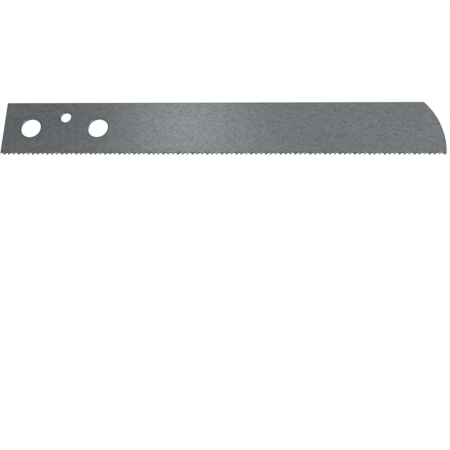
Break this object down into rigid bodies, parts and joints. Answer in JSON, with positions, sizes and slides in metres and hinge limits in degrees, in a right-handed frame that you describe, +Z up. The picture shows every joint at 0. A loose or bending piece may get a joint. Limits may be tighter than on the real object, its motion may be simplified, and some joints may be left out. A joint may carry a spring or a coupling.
{
  "type": "power hacksaw blade",
  "caption": "Straight power-hacksaw blade for metal: tall steel strip with clamp holes and a locating hole, arc-shaped far end and a welded, raker-set tooth edge.",
  "frame": {"origin": "on the front face, midway between the two clamp holes and on the line through their centres", "axes": "+X along the blade, from the driven end to the rounded end; +Y through the thickness, from the front face to the back face; +Z up, from the teeth to the plain back edge"},
  "size_m": [0.2279, 0.0016, 0.0286],
  "materials": {
    "spring_steel": "satin",
    "weld_metal": "matte",
    "tool_steel": "satin"
  },
  "bodies": {
    "root": {"backing_strip": "spring_steel", "weld_seam": "weld_metal", "tooth_edge": "tool_steel"}
  },
  "joints": []
}
